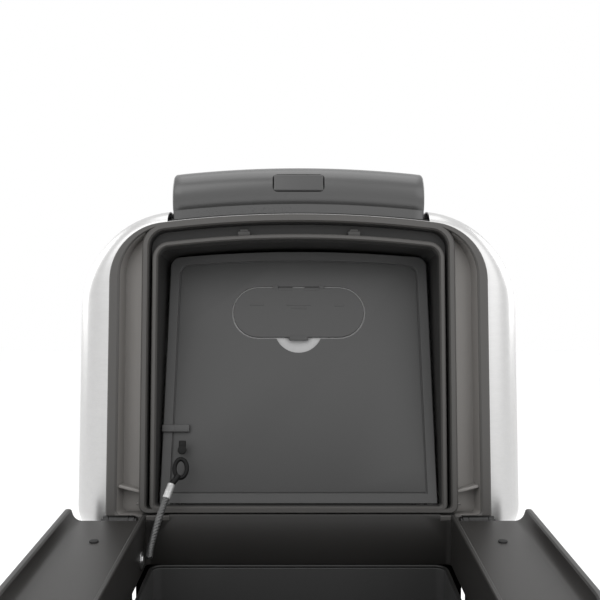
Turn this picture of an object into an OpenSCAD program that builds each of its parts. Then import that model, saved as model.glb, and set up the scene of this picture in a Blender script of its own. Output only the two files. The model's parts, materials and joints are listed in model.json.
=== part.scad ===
// Manual kitchen trash compactor: a steel bin whose lid holds a swinging
// compaction plate driven by the lid's own handle. Drawn with the lid open.
// Origin: floor, centre of the footprint. +X right, +Y back, +Z up.

/* [Body] */
// Overall width of the bin
body_w = 430; // [340:1:520]
// Depth of the bin from the bowed front to the flat back
body_d = 319; // [300:1:400]
// Height of the plane on which the lid closes
rim_z = 600; // [480:1:760]
// Radius of the front corners, seen from above
front_r = 98; // [60:1:110]
// Radius of the back corners, seen from above
back_r = 25; // [16:1:34]
// Radius of the gently bowed front
bow_r = 1090; // [800:1:1600]
// Thickness of the steel sheet
steel_t = 1.2; // [0.8:0.1:1.6]
// Height of the plastic plinth
plinth_h = 40; // [30:1:60]
// Height of the collar below the closing plane
collar_h = 42; // [36:1:60]

/* [Lid] */
// Height of the lid at its front
lid_h = 100; // [90:1:130]
// How far the lid stands open
lid_open = 98.3; // [90:0.1:104]
// Radius of the rounded lower edge of the lid
bullnose_r = 34; // [24:1:38]
// Outer radius of the barrel round the compaction axle
barrel_r = 36; // [34:1:40]
// Radius of the rounded top edge of the lid
edge_r = 20; // [14:0.5:22]
// Slope of the lid's top
lid_slope = 10.56; // [8:0.01:12]
// Depth of the deck below the steel cheeks
deck_drop = 13; // [12:0.5:15]
// Wall of the moulded plastic pieces
wall = 2.5; // [2:0.1:3]

/* [Rims under the lid] */
// From the bin's side to the outside of the outer rim
rim_margin = 65.7; // [56:0.1:74]
// Width of the outer rim's face
rim_face = 4.8; // [3:0.1:6]
// Width of the channel between the rims at the sides
channel_w = 5.3; // [5:0.1:8]
// Width of the channel at the front
channel_front = 13.8; // [12:0.1:16]
// Thickness of the inner rim
inner_rim_t = 3.2; // [2.4:0.1:4]

/* [Compaction plate] */
// Diameter of the compaction axle
axle_d = 10; // [8:0.5:11]
// Gap between the plate and the well at each side
plate_gap = 4; // [3:0.1:6]
// Thickness of the plate
plate_t = 2.6; // [2:0.1:3.2]
// Overall width of the filter cover
cover_w = 131; // [110:1:150]
// Overall height of the filter cover
cover_h = 51; // [40:1:60]
// Gap round the filter cover
cover_gap = 1.4; // [1:0.1:2]

/* [Handle] */
// Width of the handle
handle_w = 244; // [210:1:250]
// Radius of the handle bar's section
bar_r = 24; // [20:0.5:26]
// How far the bar stands out in front of the lid
bar_reach = 35; // [30:1:40]
// How far the handle swings up by itself
handle_swing = 60; // [45:1:60]
// Width of the release button
button_w = 48.6; // [36:0.1:60]
// Height of the release button's face
button_h = 17; // [12:0.1:20]
// Travel of the release button
button_travel = 3.5; // [2:0.1:4]

/* [Bucket] */
// Gap between the bucket and the collar's opening
bucket_gap = 4; // [3:0.1:6]
// Wall of the bucket
bucket_wall = 2; // [1.6:0.1:3]
// Distance of the bucket's rim below the closing plane
bucket_drop = 42; // [40:1:60]

/* [Fits] */
// Radial clearance of a running fit
run_fit = 0.05; // [0.03:0.01:0.09]
// Gap between pieces that move past each other
gap = 0.6; // [0.4:0.1:1]

/* [Hidden] */
$fn = 48;

half_w = body_w / 2;
front_y = -body_d / 2;
back_y = body_d / 2;
bow_y = front_y + bow_r;
collar_bottom = rim_z - collar_h;

// The lid's hinge. On the closed lid, v runs from this axis to the front and
// w runs up from the closing plane.
hinge_inset = 12;
hinge_drop = 8;
hinge_y = back_y - hinge_inset;
hinge_z = rim_z - hinge_drop;
hinge_hub_r = 7;
hinge_pin_d = 8;
hinge_xs = [half_w - 62, half_w - 38];
trough_z = rim_z - 26;
lip_w = 7;
lip_front = 2.5;
lip_h = 9.5;
lid_front = body_d - hinge_inset;
function y_of(v) = hinge_y - v;

// The compaction axle on the closed lid
axle_v = 24;
axle_w = 20;
axle_r = axle_d / 2;
hub_r = 10;

// The rims under the lid: half-width, front and rear places
rim_out = half_w - rim_margin;
rim_front = lid_front - 16.4;
rim_back = 9;
chan_out = rim_out - rim_face;
chan_front = rim_front - rim_face;
inner_out = chan_out - channel_w;
inner_front = chan_front - channel_front;
inner_back = 11;
well_x = inner_out - inner_rim_t;
well_front = inner_front - 2.5;
well_back = 13.5;
rim_r = 22;
channel_depth = 16;
band_x = half_w - 43;
flange_x = half_w - bullnose_r;
flange_front = lid_front - 15;
flange_r = 55;
wing_depth = 22;

// Section lines of the lid's top, parallel to the slope at a distance from the axle
top_r = barrel_r;
level_v = lid_front - 45;
deck_r = barrel_r - deck_drop;
slope_n = [cos(90 + lid_slope), sin(90 + lid_slope)];
function on_slope(r, v) = axle_w + r * slope_n[1]
    + (v - axle_v - r * slope_n[0]) * tan(lid_slope);
// Turn about the axle at which that line meets a larger circle
function slope_end(r, circle_r) = lid_slope + asin(r / circle_r);

// The front of the lid and the bar before it
bar_v = lid_front + bar_reach - bar_r;
bar_w = bar_r - 2;
sweep_r = 269.3 + lid_front - 307;
nose_v = bar_v - 46;
nose_r = bar_r;
nose_w = on_slope(top_r - nose_r, nose_v);
nose_dir = atan2(bar_v - nose_v, nose_w - bar_w);
lip_a = -128;
lip_v = axle_v + sqrt(pow(sweep_r + 1.2, 2) - pow(axle_w - 5, 2));
deck_v = axle_v + sweep_r * cos(slope_end(deck_r, sweep_r));
handle_x = handle_w / 2;
deck_x = handle_x + 2.5;
arm_x = well_x - 30;
arm_t = 6;
frame_x = arm_x - 10;
bracket_x = arm_x + 10;

// The plate's own line on the closed lid
plate_tilt = 10.35;
plate_back_v = 16;
plate_back_w = 5;
plate_x = well_x - plate_gap;
plate_len = (well_front - 7 - plate_back_v) / cos(plate_tilt);
plate_r = 10;
cover_front = 63.577;
cover_s = plate_len - cover_front;
border = 9.5;
panel_drop = 0.8;
pocket_l = cover_w + 14;
pocket_s = cover_s - cover_h / 2 - 22;
// hinge of the filter cover, just under the hole's upper edge
door_edge = cover_s + cover_h / 2 + cover_gap;
door_s = door_edge - plate_t / 2 - 0.4;
door_x = 20;
door_pin_r = 0.8;

// The bucket and the collar's opening
open_x = inner_out + gap;
open_lip = 4;
open_front = inner_front + 4;
open_back = well_back + 0.5;
bucket_x = open_x - bucket_gap - 0.3;
bucket_front = open_front - bucket_gap;
bucket_back = open_back + 2 + bucket_gap;
bucket_top = rim_z - bucket_drop;
bucket_bottom = plinth_h + 0.3;

// The lid-stay cable, from its hook on the plate to its anchor on the collar
hook_x = -(plate_x - 21);
hook_s = 49.5;
cable_d = 6;
loop_end = [-118.8, 150.8, 628];
ferrule_end = [-122.6, 141.1, 617];
cable_pts = [ferrule_end, [-125.5, 133.5, 608], [-128.5, 124.5, 598], [-131, 116, 588],
    [-132.6, 110, 580], [-133, 107, 574]];

function arc(cx, cy, r, a0, a1, n) =
    [for (i = [0:n]) let (a = a0 + (a1 - a0) * i / n) [cx + r * cos(a), cy + r * sin(a)]];

// Outline seen from above: straight sides, flat back, bowed front
function outline(hw, yf, yb, rf, rb) =
    let (big = bow_y - yf, xc = hw - rf,
        yc = bow_y - sqrt(pow(big - rf, 2) - pow(xc, 2)), a = atan2(yc - bow_y, xc))
    concat(arc(0, bow_y, big, -180 - a, a, 10), arc(xc, yc, rf, a + 8, 0, 8),
        arc(hw - rb, yb - rb, rb, 0, 90, 5), arc(rb - hw, yb - rb, rb, 90, 180, 5),
        arc(-xc, yc, rf, 180, 180 - a - 8, 8));
function body_outline(d, back_d) = outline(half_w - d, front_y + d, back_y - back_d,
    max(front_r - d, 3), max(back_r - d, 3));
// Outline between the flange at share 0 and the lid's full outline at share 1
function lid_outline(share, d, db) = let (k = 1 - share) outline(half_w - k * bullnose_r - d,
    front_y + k * 15 + d, back_y - db, max(front_r - k * (front_r - flange_r) - d, 20),
    max(back_r - k * 10 - max(d, db), 3));
function rim_outline(hw, vf, vb, r) = outline(hw, y_of(vf), y_of(vb), max(r, 2), 5);

// Closed skin over a stack of rings that have equally many points. Where it is endless,
// its last ring joins its first.
module loft(rings, endless = false) {
    n = len(rings[0]);
    m = len(rings);
    polyhedron(points = [for (r = rings) each r],
        faces = concat(endless ? [] : [[for (j = [0:n - 1]) j]],
            [for (i = [0:m - (endless ? 1 : 2)]) for (j = [0:n - 1])
                let (k = (j + 1) % n, up = (i + 1) % m)
                each [[i * n + j, up * n + j, up * n + k], [i * n + j, up * n + k, i * n + k]]],
            endless ? [] : [[for (j = [n - 1:-1:0]) (m - 1) * n + j]]));
}

// Straight prism across the bin from a (y, z) profile
module across(pts, x0, x1) {
    translate([x0, 0, 0]) rotate([90, 0, 90]) linear_extrude(x1 - x0) polygon(pts);
}
// The same from a (v, w) profile on the closed lid
module across_lid(pts, x0, x1) {
    across([for (p = pts) [y_of(p[0]), rim_z + p[1]]], x0, x1);
}
function bow_shift(x) = bow_r - sqrt(pow(bow_r, 2) - x * x);
function bow_share(v) = min(1, max(0, (v - 120) / 120));
// Prism across the lid whose front follows the bow
module bowed(pts, x0, x1, n = 12) {
    loft([for (i = [0:n]) let (x = x0 + (x1 - x0) * i / n)
        [for (p = pts) [x, y_of(p[0] - bow_share(p[0]) * bow_shift(x)), rim_z + p[1]]]]);
}
module both_sides() {
    children();
    mirror([1, 0, 0]) children();
}
module ring_wall(hw, vf, vb, r, t, z0, z1) {
    difference() {
        translate([0, 0, z0]) linear_extrude(z1 - z0) polygon(rim_outline(hw, vf, vb, r));
        translate([0, 0, z0 - 1]) linear_extrude(z1 - z0 + 2)
            polygon(rim_outline(hw - t, vf - t, vb + t, r - t));
    }
}
// Makes one closed mesh of a thin shell, whose size stays as it is
module one_mesh() {
    resize([0, 0, 0]) children();
}
module opened() {
    translate([0, hinge_y, hinge_z]) rotate([-lid_open, 0, 0])
        translate([0, -hinge_y, -hinge_z]) children();
}
// A cylinder along X at a place on the closed lid
module rod(v, w, r, x0, x1) {
    translate([x0, y_of(v), rim_z + w]) rotate([0, 90, 0]) cylinder(r = r, h = x1 - x0);
}
// Frame whose x is X, y runs along the plate to its front and z into the lid
module on_plate() {
    opened() translate([0, y_of(plate_back_v), rim_z + plate_back_w])
        rotate([-plate_tilt, 0, 0]) mirror([0, 1, 0]) children();
}
module tube_path(pts, r, sides) {
    dirs = [for (i = [0:len(pts) - 1])
        let (d = pts[min(i + 1, len(pts) - 1)] - pts[max(i - 1, 0)]) d / norm(d)];
    loft([for (i = [0:len(pts) - 1]) let (t = dirs[i], a = cross(t, [1, 0, 0]),
            u = a / norm(a), s = cross(t, u))
        [for (j = [0:sides - 1]) let (q = 360 * j / sides)
            pts[i] + r * (cos(q) * u + sin(q) * s)]]);
}

// ---------- Bin ----------
module base_plinth() {
    color("dimgray") difference() {
        linear_extrude(plinth_h) polygon(body_outline(steel_t + 1, steel_t + 1));
        for (x = [-1, 1], y = [-1, 1])
            translate([x * (half_w - 70), y * (body_d / 2 - 60), -1]) cylinder(d = 30, h = 5);
    }
}
module rubber_feet() {
    color("black") for (x = [-1, 1], y = [-1, 1])
        translate([x * (half_w - 70), y * (body_d / 2 - 60), 0]) cylinder(d = 30, h = 4);
}
module shell_wall() {
    difference() {
        translate([0, 0, 12]) linear_extrude(collar_bottom - 12) polygon(body_outline(0, 0));
        linear_extrude(rim_z) polygon(body_outline(steel_t, steel_t));
    }
}
seam_x = half_w - 60;
module body_shell() {
    color("gainsboro") difference() {
        shell_wall();
        translate([-seam_x, back_y - 5, 0]) cube([2 * seam_x, 10, rim_z]);
    }
}
module rear_panel() {
    color("dimgray") difference() {
        translate([-seam_x + 0.3, back_y - steel_t, 12])
            cube([2 * seam_x - 0.6, steel_t, collar_bottom - 12]);
        for (i = [-2:2]) translate([i * 50 - 16, back_y - 5, collar_bottom - 40]) cube([32, 10, 4]);
    }
}
module top_collar() {
    color([0.2, 0.19, 0.18]) difference() {
        union() {
            translate([0, 0, collar_bottom]) linear_extrude(collar_h - 1.5)
                polygon(body_outline(0, 0));
            translate([0, 0, rim_z - 2]) difference() {
                linear_extrude(lip_h + 2) polygon(body_outline(0, 0));
                translate([0, 0, -1]) linear_extrude(lip_h + 4) polygon(outline(half_w - lip_w,
                    front_y + lip_front, back_y - lip_w, front_r - lip_front, back_r - lip_w));
                translate([-handle_x - 6, front_y - 10, 0.5]) cube([handle_w + 12, 60, 20]);
            }
            ring_wall(open_x + open_lip, open_front + open_lip, open_back, 20, open_lip,
                collar_bottom, rim_z + 5);
        }
        translate([0, 0, 0]) linear_extrude(rim_z + 50)
            polygon(rim_outline(open_x, open_front, open_back + 2, 16));
        // hollow underneath, between the outer wall and the opening's wall
        difference() {
            translate([0, 0, collar_bottom - 1]) linear_extrude(collar_h - 4)
                polygon(body_outline(4, 4));
            linear_extrude(rim_z) polygon(rim_outline(open_x + open_lip, open_front + open_lip,
                open_back - 2, 20));
            translate([-half_w, y_of(open_back + 4), 0]) cube([body_w, 40, rim_z]);
        }
        // notches for the rear ends of the lid's inner rim
        both_sides() translate([well_x - 6, y_of(open_back + open_lip + 1), rim_z - gap])
            cube([open_x - well_x + 6, open_lip + 2, 10]);
        // notch for the stay cable
        translate([cable_pts[1][0] - cable_d, y_of(open_back + open_lip + 1), rim_z - gap])
            cube([2.2 * cable_d, open_lip + 2, 10]);
        // trough behind the opening for the back of the open lid
        translate([-half_w - 1, y_of(hinge_hub_r + gap), trough_z]) cube([body_w + 2, 60, 60]);
        translate([-open_x - open_lip - gap, y_of(open_back + 1), rim_z + 3.5])
            cube([2 * (open_x + open_lip + gap), 60, 60]);
    }
}
module collar_bumpers() {
    color("black") for (x = [-1, 1], v = [70, 200])
        translate([x * (band_x + 3), y_of(v), rim_z - 1.5]) cylinder(d = 8, h = 1.2);
}
module hinge_brackets() {
    color("silver") both_sides() for (x = hinge_xs) difference() {
        translate([x, 0, 0]) union() {
            translate([0, hinge_y, hinge_z]) rotate([0, 90, 0]) cylinder(r = hinge_hub_r, h = 5);
            translate([0, hinge_y - hinge_hub_r, trough_z])
                cube([5, 2 * hinge_hub_r - 2.5, hinge_z - trough_z]);
        }
        translate([x - 1, hinge_y, hinge_z]) rotate([0, 90, 0])
            cylinder(d = hinge_pin_d + 2 * run_fit, h = 7);
    }
}
module hinge_pins() {
    color("silver") both_sides() translate([hinge_xs[0] - 2, hinge_y, hinge_z]) rotate([0, 90, 0]) {
        cylinder(d = hinge_pin_d, h = hinge_xs[1] - hinge_xs[0] + 9);
        cylinder(d = hinge_pin_d + 4, h = 1.5);
    }
}
module stay_anchor() {
    color("silver") translate([-open_x, 105, rim_z - 28]) rotate([0, 90, 0]) {
        cylinder(r = 8, h = 1);
        cylinder(r = 4.5, h = 2.4);
    }
}
module stay_cable() {
    color([0.25, 0.25, 0.26]) tube_path(cable_pts, cable_d / 2, 8);
}
module stay_ferrule() {
    color("silver") tube_path([loop_end, ferrule_end], cable_d / 2 + 0.8, 12);
}
module stay_loop() {
    color([0.1, 0.1, 0.1]) tube_path([[hook_x - 1, 162, 644], [hook_x - 4, 157, 636], loop_end],
        cable_d / 2, 8);
}

// ---------- Bucket ----------
module bucket_shell() {
    color([0.25, 0.25, 0.25]) difference() {
        union() {
            translate([0, 0, bucket_bottom]) linear_extrude(bucket_top - bucket_bottom)
                polygon(rim_outline(bucket_x - 1, bucket_front - 1, bucket_back + 1, 18));
            translate([0, 0, bucket_top - 6]) linear_extrude(6)
                polygon(rim_outline(bucket_x, bucket_front, bucket_back, 19));
        }
        translate([0, 0, bucket_bottom + 3]) linear_extrude(rim_z)
            polygon(rim_outline(bucket_x - 1 - bucket_wall, bucket_front - 1 - bucket_wall,
                bucket_back + 1 + bucket_wall, 18 - bucket_wall));
    }
}
module bag_ring() {
    color("dimgray") ring_wall(bucket_x, bucket_front, bucket_back, 19, 3,
        bucket_top, bucket_top + 2);
}

// ---------- Lid ----------
skin_edge_w = 9;
skin_edge_v = axle_v + sqrt(pow(sweep_r, 2) - pow(axle_w - skin_edge_w + 1, 2));
// Height of the lid's top: a barrel at the back, then the slope, level at the front
function top_at(v) = v < axle_v + top_r * slope_n[0]
    ? axle_w + sqrt(max(0, pow(top_r, 2) - pow(axle_v - v, 2))) : on_slope(top_r, min(v, level_v));
function squeeze(v) = min(1, top_at(v) / on_slope(top_r, axle_v + top_r * slope_n[0]));
function v_of(p) = hinge_y - p[1];
// Rings of the skin's surface, or of its inside where t is its thickness
function skin_rings(t) = concat(
    [for (a = [0:15:90]) [for (p = lid_outline(sin(a), t * sin(a), t))
        [p[0], p[1], rim_z + squeeze(v_of(p)) * bullnose_r * (1 - cos(a)) + t * cos(a)]]],
    [for (b = [0:22.5:90]) [for (p = lid_outline(1, edge_r * (1 - cos(b)) + t * cos(b),
        edge_r * (1 - cos(b)) + t))
        [p[0], p[1], rim_z + top_at(v_of(p)) - squeeze(v_of(p)) * edge_r * (1 - sin(b)) - t * sin(b)]]],
    [for (d = [40, 60]) [for (p = lid_outline(1, d, d)) [p[0], p[1], rim_z + top_at(v_of(p)) - t]]]);
function reversed(list) = [for (i = [len(list) - 1:-1:0]) list[i]];
module lid_skin() {
    color("gainsboro") opened() difference() {
        loft(concat(skin_rings(0), reversed(skin_rings(steel_t))), true);
        translate([0, 0, rim_z + skin_edge_w]) linear_extrude(lid_h + 50) square([2 * deck_x + 4.4,
            2 * y_of(-20)], center = true);
        translate([0, 0, rim_z - 5]) linear_extrude(lid_h + 50) intersection() {
            translate([0, bow_y]) difference() {
                circle(r = bow_r + 20, $fn = 400);
                circle(r = bow_y - y_of(skin_edge_v), $fn = 400);
            }
            translate([-deck_x - 2.2, front_y - 10]) square([2 * deck_x + 4.4, 60]);
        }
    }
}
// The flange's outline, set in by a distance and clear of the steel round it
function flange_outline(d) = outline(flange_x - 0.6 - d, y_of(flange_front - 0.6 - d),
    y_of(-10.6), flange_r - 0.6 - d, max(back_r - 11.8 - d, 3));
module lid_liner() {
    color([0.35, 0.34, 0.33]) opened() difference() {
        union() {
            // flange with its two hollow wings
            difference() {
                translate([0, 0, rim_z]) linear_extrude(wing_depth + wall)
                    polygon(flange_outline(0));
                translate([0, 0, rim_z + wall]) linear_extrude(wing_depth + 1)
                    polygon(flange_outline(-9));
            }
            both_sides() intersection() {
                difference() {
                    translate([rim_out - 2, y_of(lid_front), rim_z])
                        cube([band_x - rim_out + 4.5, lid_front - 22, wing_depth + wall]);
                    translate([rim_out - 3, y_of(lid_front + 1), rim_z + wing_depth + wall])
                        cube([60, 400, 20]);
                }
                translate([0, 0, rim_z]) linear_extrude(60) polygon(flange_outline(0));
            }
            // outer rim and the channel's floor
            ring_wall(rim_out, rim_front, rim_back, rim_r, rim_face, rim_z, rim_z + channel_depth + 4);
            translate([0, 0, rim_z + channel_depth]) linear_extrude(wall)
                polygon(rim_outline(rim_out - 1, rim_front - 1, rim_back + 1, rim_r - 1));
            // walls of the well up to the deck
            intersection() {
                translate([0, 0, rim_z]) linear_extrude(lid_h)
                    polygon(rim_outline(inner_out, inner_front, inner_back, 15));
                across_lid([[0, -1], [axle_v, -1], [lid_front, -1],
                    [lid_front, on_slope(deck_r - wall, lid_front)], [60, on_slope(deck_r - wall, 60)],
                    [60, 5.5], [0, 5.5]], -half_w, half_w);
            }
        }
        // the channel between the rims
        translate([0, 0, rim_z - 1]) linear_extrude(channel_depth + 1) difference() {
            polygon(rim_outline(chan_out, chan_front, rim_back + rim_face, rim_r - rim_face));
            polygon(rim_outline(inner_out, inner_front, inner_back, 15));
        }
        // the well itself
        translate([0, 0, rim_z - 1]) linear_extrude(lid_h + 60)
            polygon(rim_outline(well_x, well_front, well_back, 12));
        // room for the axle barrel
        across_lid([[-20, 6], [60, 6], [60, 60], [-20, 60]], -well_x, well_x);
        // open wings
        both_sides() difference() {
            translate([rim_out + 0.2, y_of(lid_front + 10), rim_z - 1])
                cube([band_x - rim_out - 0.2, lid_front - 16, wing_depth + 1]);
            translate([rim_out - 1, y_of(32), rim_z + 4]) cube([60, 3, 40]);
            translate([0, 0, rim_z - 5]) difference() {
                linear_extrude(80) polygon(body_outline(-20, -20));
                translate([0, 0, -1]) linear_extrude(90) polygon(flange_outline(9));
            }
        }
        // room for the hinge knuckles
        both_sides() for (x = hinge_xs) translate([x - 1.5, hinge_y - 10, rim_z - 20]) cube([8, 30, 19.5]);
    }
}
module lid_deck() {
    color([0.12, 0.12, 0.12]) one_mesh() opened() difference() {
        bowed(concat(arc(axle_v, axle_w, deck_r, 196, 90 + lid_slope, 14),
            arc(axle_v, axle_w, sweep_r, slope_end(deck_r, sweep_r), -2, 4),
            arc(axle_v, axle_w, sweep_r - wall, -2, slope_end(deck_r - wall, sweep_r - wall), 4),
            arc(axle_v, axle_w, deck_r - wall, 90 + lid_slope, 196, 14)), -deck_x, deck_x);
        // slots for the handle's arms
        both_sides() intersection() {
            translate([arm_x - 1, 0, rim_z]) cube([arm_t + 2, 200, 100]);
            across_lid([[axle_v, axle_w], [axle_v + 60, axle_w + 60], [axle_v, axle_w + 80],
                [axle_v + 80 * cos(120 + handle_swing),
                axle_w + 80 * sin(120 + handle_swing)]], 0, half_w);
        }
    }
}
module deck_walls() {
    // walls beside the handle, flush with the steel cheeks
    high = top_r - steel_t - 0.3;
    low = deck_r - wall;
    end_v = deck_v - bow_shift(deck_x) - gap;
    color([0.12, 0.12, 0.12]) opened() both_sides() across_lid(concat(
        arc(axle_v, axle_w, high, 176, 90 + lid_slope, 10),
        [[level_v, on_slope(high, level_v)], [end_v, on_slope(high, level_v)],
        [end_v, on_slope(low, end_v)]], arc(axle_v, axle_w, low, 90 + lid_slope, 176, 10)),
        deck_x + 0.05, deck_x + 2);
}
module lid_hinge_arms() {
    color("silver") opened() both_sides() translate([hinge_xs[0] + 5.5, 0, 0]) difference() {
        union() {
            translate([0, hinge_y, hinge_z]) rotate([0, 90, 0]) cylinder(r = hinge_hub_r,
                h = hinge_xs[1] - hinge_xs[0] - 6);
            translate([0, hinge_y - 5, hinge_z]) cube([hinge_xs[1] - hinge_xs[0] - 6, 10, hinge_drop]);
        }
        translate([-1, hinge_y, hinge_z]) rotate([0, 90, 0])
            cylinder(d = hinge_pin_d + 2 * run_fit, h = 40);
    }
}
module axle_brackets() {
    color("silver") opened() both_sides() difference() {
        union() {
            rod(axle_v, axle_w, hub_r, bracket_x, bracket_x + 5);
            intersection() {
                rod(axle_v, axle_w, deck_r - wall, bracket_x, bracket_x + 5);
                across_lid([[-20, axle_w], [60, axle_w], [60, 70], [-20, 70]], 0, half_w);
            }
        }
        rod(axle_v, axle_w, axle_r + run_fit, bracket_x - 1, bracket_x + 6);
    }
}
module compaction_axle() {
    color("silver") opened() rod(axle_v, axle_w, axle_r, -bracket_x - 9, bracket_x + 9);
}
module axle_clips() {
    color("dimgray") opened() both_sides() difference() {
        rod(axle_v, axle_w, 8, bracket_x + 5.5, bracket_x + 6.7);
        rod(axle_v, axle_w, axle_r, bracket_x + 5, bracket_x + 7);
    }
}
module channel_clips() {
    color("dimgray") opened() for (x = [-53, 54]) translate([x - 6, y_of(inner_front + 5), rim_z + 6])
        cube([12, 5, channel_depth - 6]);
}
module latch_keeper() {
    color("silver") opened() translate([-14, y_of(axle_v + sweep_r - wall - 3.5), rim_z + 27])
        cube([28, 2, 14]);
}

// ---------- Handle ----------
module handle_shell() {
    t = wall;
    outer = concat(arc(axle_v, axle_w, top_r, 145, 90 + lid_slope, 6),
        arc(nose_v, nose_w, nose_r, 90 + lid_slope, nose_dir, 6),
        arc(bar_v, bar_w, bar_r, nose_dir, lip_a, 16), [[lip_v, 3.4]]);
    inner = concat([[lip_v, 5.4]], arc(bar_v, bar_w, bar_r - t, lip_a + 4, nose_dir, 16),
        arc(nose_v, nose_w, nose_r - t, nose_dir, 90 + lid_slope, 6),
        arc(axle_v, axle_w, top_r - t, 90 + lid_slope, 145, 6));
    color([0.4, 0.4, 0.39]) one_mesh() opened() difference() {
        bowed(concat(outer, inner), -handle_x, handle_x);
        button_place() translate([-button_w / 2 - 0.8, -button_h / 2 - 0.8, -12])
            cube([button_w + 1.6, button_h + 1.6, 24]);
    }
}
module handle_cover() {
    r0 = sweep_r + 1.2;
    r1 = deck_r + gap;
    corner_v = axle_v + r0 * cos(slope_end(r1, r0)) - 4;
    color([0.15, 0.15, 0.15]) one_mesh() opened() difference() {
        bowed(concat(arc(axle_v, axle_w, r0, -2.8, slope_end(r1, r0), 4),
            arc(axle_v, axle_w, r1, 90 + lid_slope, 145, 5),
            arc(axle_v, axle_w, r1 + wall, 145, 90 + lid_slope, 5),
            [[corner_v, on_slope(r1 + wall, corner_v)]],
            arc(axle_v, axle_w, r0 + wall, slope_end(r1 + wall, r0 + wall) - 1.2, -2.8, 4)),
            -handle_x + 3.3, handle_x - 3.3);
        translate([-11, y_of(bar_v), rim_z + 28.6]) cube([22, 40, 8.8]);
    }
}
// Frame on the bar's underside: z points out of the button's face
module button_place() {
    translate([0, y_of(bar_v), rim_z + bar_w]) rotate([166, 0, 0]) translate([0, 0, bar_r - 1.2])
        children();
}
module release_button() {
    color([0.15, 0.15, 0.15]) opened() button_place() {
        translate([-button_w / 2, -button_h / 2, -2]) cube([button_w, button_h, 2.6]);
        translate([-8, -3, -8]) cube([16, 6, 6]);
    }
}
module button_spring() {
    h = 2 * button_travel + 1;
    color("silver") opened() button_place() for (x = [-16, 16]) translate([x, 0, -2 - h])
        difference() {
            cylinder(r = 3, h = h);
            translate([0, 0, -1]) cylinder(r = 2, h = h + 2);
        }
}
module latch_bolt() {
    color("silver") opened() translate([-10, y_of(lip_v + 16.5), rim_z + 29.5]) cube([20, 16.3, 7]);
}
module handle_arms() {
    // from the hub out to the underside of the handle's cover
    reach = deck_r + gap + wall;
    color("silver") opened() both_sides() difference() {
        union() {
            rod(axle_v, axle_w, hub_r, arm_x, arm_x + arm_t);
            intersection() {
                rod(axle_v, axle_w, deck_r + gap, arm_x, arm_x + arm_t);
                across_lid([[axle_v - 4, axle_w], [axle_v + 8, axle_w],
                    [axle_v + 8, axle_w + 60], [axle_v - 18, axle_w + 60]], 0, half_w);
            }
        }
        rod(axle_v, axle_w, axle_r + run_fit, arm_x - 1, arm_x + arm_t + 1);
    }
}
module handle_end_caps() {
    r0 = sweep_r + 1.2 + wall + 0.3;
    slab_r = deck_r + gap + wall + 0.3;
    skin_in = wall + 0.3;
    color([0.3, 0.3, 0.3]) one_mesh() opened() both_sides() bowed(concat(
        arc(axle_v, axle_w, top_r - skin_in, 145, 90 + lid_slope, 5),
        arc(nose_v, nose_w, nose_r - skin_in, 90 + lid_slope, nose_dir, 6),
        arc(bar_v, bar_w, bar_r - skin_in, nose_dir, lip_a + 32, 12),
        arc(axle_v, axle_w, r0, 1, slope_end(slab_r, r0), 4),
        arc(axle_v, axle_w, slab_r, 90 + lid_slope, 145, 5)), handle_x - 3, handle_x - 0.5, 1);
}
module handle_screws() {
    x = handle_x - 30;
    screw_seat = 0.2;
    color("silver") opened() both_sides() for (v = [60, 200]) translate([x, y_of(v), rim_z
        + on_slope(deck_r + gap + wall + screw_seat, v + bow_share(v) * bow_shift(x))])
        rotate([-lid_slope, 0, 0]) cylinder(r = 3.5, h = 3);
}

// ---------- Compaction plate ----------
module plate_outline(d) {
    x0 = plate_x - d;
    polygon(concat([[-x0, d]], [[x0, d]],
        arc(x0 - 2.5 - plate_r, plate_len - plate_r - d - 7, plate_r, 0, 83, 6),
        arc(0, plate_len - d - bow_r, bow_r, 90 - asin((x0 - 2.5 - plate_r) / bow_r),
            90 + asin((x0 - 2.5 - plate_r) / bow_r), 10),
        arc(-(x0 - 2.5 - plate_r), plate_len - plate_r - d - 7, plate_r, 97, 180, 6)));
}
module stadium(w, h) {
    for (x = [-1, 1]) translate([x * (w - h) / 2, 0]) circle(d = h);
    square([w - h, h], center = true);
}
module cover_outline(d) {
    translate([0, cover_s]) stadium(cover_w + 2 * d, cover_h + 2 * d);
    translate([0, cover_s - cover_h / 2]) square([18.4 + 2 * d, 8 + 2 * d], center = true);
}
// A cylinder along the filter cover's hinge axis, in the plate's frame
module door_rod(r, x0, x1) {
    translate([x0, door_s, plate_t / 2]) rotate([0, 90, 0]) cylinder(r = r, h = x1 - x0);
}
module compaction_plate() {
    color([0.3, 0.3, 0.3]) on_plate() difference() {
        union() {
            difference() {
                linear_extrude(plate_t) plate_outline(0);
                translate([0, 0, -1]) linear_extrude(1 + panel_drop) plate_outline(border);
                translate([0, 0, -1]) linear_extrude(8) cover_outline(cover_gap);
                translate([0, cover_s - cover_h / 2 - 2, -1]) intersection() {
                    translate([0, 10, 0]) cylinder(r = 25, h = 8);
                    translate([-30, -30, 0]) cube([60, 40, 8]);
                }
            }
            // knuckles for the filter cover
            both_sides() {
                door_rod(plate_t / 2, door_x + gap, door_x + 5.6);
                translate([door_x + gap, door_s, 0]) cube([5.6 - gap, door_edge - door_s + 1, plate_t]);
            }
        }
        both_sides() door_rod(door_pin_r + run_fit, door_x, door_x + 6);
    }
}
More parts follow.
